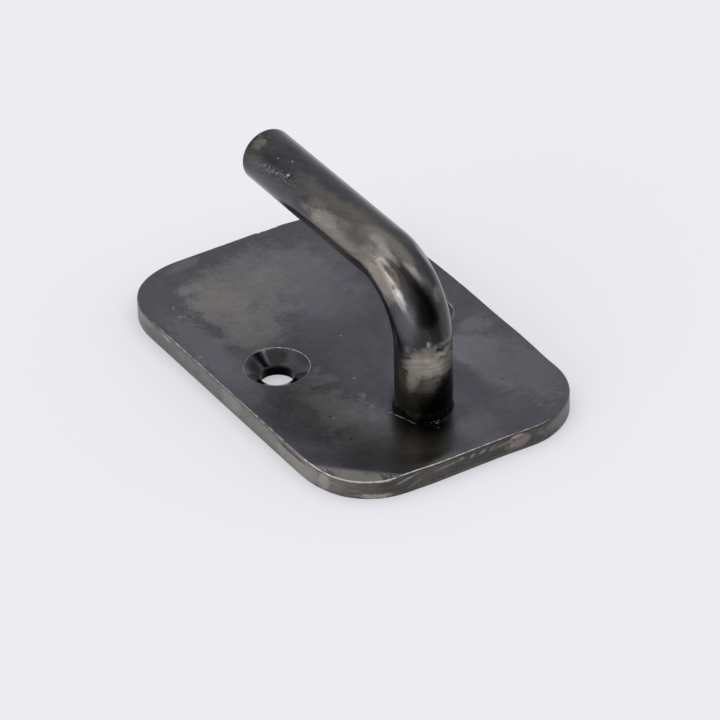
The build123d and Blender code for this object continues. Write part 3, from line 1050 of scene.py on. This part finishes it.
def makeBar(material):
    low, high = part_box("hook_arm")
    arm = mounts["arm"]
    radius = arm["dims"]["r_mm"] * mm
    armHeight = arm["pos_m"][2]
    foot = footPlace()
    bendRadius = bar["bendRadius"] * mm
    tipRound = bar["tipRound"] * mm
    bm = bmesh.new()
    made = bmesh.ops.create_circle(
        bm, cap_ends=False, segments=bar["aroundSegments"], radius=radius,
        matrix=Matrix.Translation((*foot, low.z)),
    )
    ring = made["verts"]
    footRing = ringEdges(ring)

    def run(ring, direction, distance):
        # Extrudes a ring straight on, in even steps
        steps = max(1, round(distance / (bar["ringStep"] * mm)))
        for _ in range(steps):
            ring = extrudeRing(bm, ring)
            bmesh.ops.translate(bm, vec=direction * (distance / steps), verts=ring)
        return ring

    ring = run(ring, Vector((0, 0, 1)), armHeight - bendRadius - low.z)
    turned = bmesh.ops.spin(
        bm, geom=list(ring) + ringEdges(ring), cent=(foot[0], foot[1] + bendRadius, armHeight - bendRadius),
        axis=(-1, 0, 0), angle=math.radians(90),
        steps=round(bendRadius * math.pi / 2 / (bar["ringStep"] * mm)), use_duplicate=False,
    )
    ring = newVerts(turned["geom_last"])
    ring = run(ring, Vector((0, 1, 0)), high.y - tipRound - (foot[1] + bendRadius))
    centre = Vector((foot[0], 0, armHeight))
    rounding = [math.radians(90 * k / bar["tipRings"]) for k in range(1, bar["tipRings"] + 1)]
    tipRings = [(radius - tipRound * (1 - math.cos(a)), tipRound * (math.sin(a) - 1)) for a in rounding]
    tipRings += [(radius * share, 0.0) for share in bar["tipDiscs"]]
    for reach, setBack in tipRings:
        ring = extrudeRing(bm, ring)
        for vert in ring:
            spoke = Vector((vert.co.x, 0, vert.co.z)) - centre
            vert.co = centre + spoke.normalized() * reach
            vert.co.y = high.y + setBack
    bmesh.ops.edgeloop_fill(bm, edges=ringEdges(ring))
    bmesh.ops.edgeloop_fill(bm, edges=footRing)

    # Where each point lies on the straightened bar, and the clamp's mark
    straightened = bm.verts.layers.float_vector.new("straightened")
    bmesh.ops.recalc_face_normals(bm, faces=bm.faces)
    bm.normal_update()
    for vert in bm.verts:
        unbent = straighten(vert.co, foot, armHeight)
        vert[straightened] = unbent
        bearing = math.degrees(math.atan2(unbent.y, unbent.x))
        aroundMm = math.radians(bearing - clampMark["bearing"]) * arm["dims"]["r_mm"]
        away = math.hypot(
            (unbent.z - clampMark["along"] + clampMark["slant"] * aroundMm) / clampMark["half"][0],
            aroundMm / clampMark["half"][1],
        )
        press = clampMark["depth"] * max(0.0, 1 - away * away) ** 2
        lip = clampMark["lip"] * max(0.0, 1 - (away - clampMark["lipAt"]) ** 2 / clampMark["lipSpread"])
        bendStart = (armHeight - bendRadius) * toMm - bar["plateFront"]
        bendShare = (unbent.z - bendStart) / (bar["bendRadius"] * math.pi / 2)
        swell = bar["bendSwell"] * math.sin(math.pi * min(max(bendShare, 0.0), 1.0))
        shows = smoothStep(1.0, 3.0, unbent.z)
        vert.co += vert.normal * (bar["fuller"] * shows + swell + lip - press) * mm
    piece = finishMesh(bm, "hook_arm_dressed", material)
    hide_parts("hook_arm")
    return piece


# Weld bead round the bar's foot: one pass with the torch, low, black and lumpy
bead = {
    "width": 0.34,
    "height": 1.7,
    "sectionSegments": 10,
    "aroundSegments": 220,
    "sunk": 0.35,          # how far its section runs into the bar and the plate
    "lump": 0.17,
    "lumpSize": 1.3,
    "fineLump": (2.1, 0.5),    # waves to the mm, and height beside the broad lumps
    "ripple": (2.0, 0.30),     # size in mm, and height as a share of the bead's
    "lean": -0.14,         # how far its toe sits towards +X
    # The black, and the pale tone of its painted glints
    "tones": ("161614", "8d8c86"),
    "glints": (0.20, 0.28),
}


def makeBeadFinish():
    # Mild steel weld metal under black oxide: glassy black with a few painted glints
    material, tree, output = newMaterial("blackened_weld_metal")
    place = placeInMm(tree)
    crust = centredNoise(tree, place, (1.6, 1.6, 1.6), 5.0, 0.65)
    colour = blendTones(tree, crust, bead["glints"], bead["tones"])
    rough = addNode(
        tree, "Bump", {"Strength": 0.6, "Distance": 0.15 * mm}, {"Height": crust}
    ).outputs["Normal"]
    steel = addNode(
        tree, "BsdfPrincipled", {"Metallic": 1.0, "Roughness": 0.30}, {"Base Color": colour, "Normal": rough}
    )
    tree.links.new(steel.outputs[0], output.inputs["Surface"])
    return material


def makeBead(material):
    low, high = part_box("front_weld_bead")
    foot = footPlace()
    radius = mounts["arm"]["dims"]["r_mm"]
    base = Vector((foot[0] + (radius - bead["sunk"]) * mm, foot[1], low.z - bead["sunk"] * mm))
    bm = bmesh.new()
    across = (bead["width"] + bead["sunk"]) * mm
    up = (bead["height"] + bead["sunk"]) * mm
    finePitch, fineShare = bead["fineLump"]
    rippleSize, rippleShare = bead["ripple"]
    section = [bm.verts.new(base)]
    for k in range(bead["sectionSegments"] + 1):
        angle = math.radians(90 * k / bead["sectionSegments"])
        section.append(bm.verts.new(base + Vector((across * math.cos(angle), 0, up * math.sin(angle)))))
    edges = [bm.edges.new((section[i], section[i - 1])) for i in range(len(section))]
    bmesh.ops.spin(
        bm, geom=section + edges, cent=(*foot, 0), axis=(0, 0, 1), angle=math.radians(360),
        steps=bead["aroundSegments"], use_merge=True, use_duplicate=False,
    )
    for vert in bm.verts:
        outward = Vector((vert.co.x - foot[0], vert.co.y - foot[1], 0))
        showing = smoothStep(radius - 0.3, radius + 0.1, outward.length * toMm)
        lump = noise.noise(vert.co * (toMm / bead["lumpSize"]))
        lump += fineShare * noise.noise(vert.co * toMm * finePitch)
        vert.co += outward.normalized() * lump * bead["lump"] * showing * mm
        vert.co.x += bead["lean"] * showing * mm
        if vert.co.z > low.z:
            ripple = noise.noise(Vector((vert.co.x, vert.co.y, 0)) * (toMm / rippleSize))
            vert.co.z += (vert.co.z - low.z) * rippleShare * ripple
    piece = finishMesh(bm, "weld_bead_dressed", material, sharpAngle=60)
    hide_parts("front_weld_bead")
    return piece


# Weld on the back: the black of its ground face, and the scratches in it
groundWeld = {"tones": ("4d4c4b", "76736f")}


def makeGroundFinish():
    # Weld metal ground flush with the plate's back: straight grinding scratches under thin black
    material, tree, output = newMaterial("ground_and_blackened_weld")
    place = placeInMm(tree)
    scratches = centredNoise(tree, place, (0.15, 3.3, 1.0), 3.0, 0.6)
    colour = blendTones(tree, scratches, (-noiseSwing, noiseSwing), groundWeld["tones"])
    ground = addNode(
        tree, "Bump", {"Strength": 0.3, "Distance": 0.04 * mm}, {"Height": scratches}
    ).outputs["Normal"]
    steel = addNode(
        tree, "BsdfPrincipled", {"Metallic": 1.0, "Roughness": 0.4}, {"Base Color": colour, "Normal": ground}
    )
    tree.links.new(steel.outputs[0], output.inputs["Surface"])
    return material


print("studio")
makeCamera()
makeWorld()
makeFloor()
print("plate")
makePlate(makePlateFinish())
print("bar")
makeBar(makeBarFinish())
print("welds")
makeBead(makeBeadFinish())
backWeld = frame["nodes"]["back_weld"]
backWeld.data.materials.clear()
backWeld.data.materials.append(makeGroundFinish())

bpy.context.scene.view_settings.view_transform = "Standard"
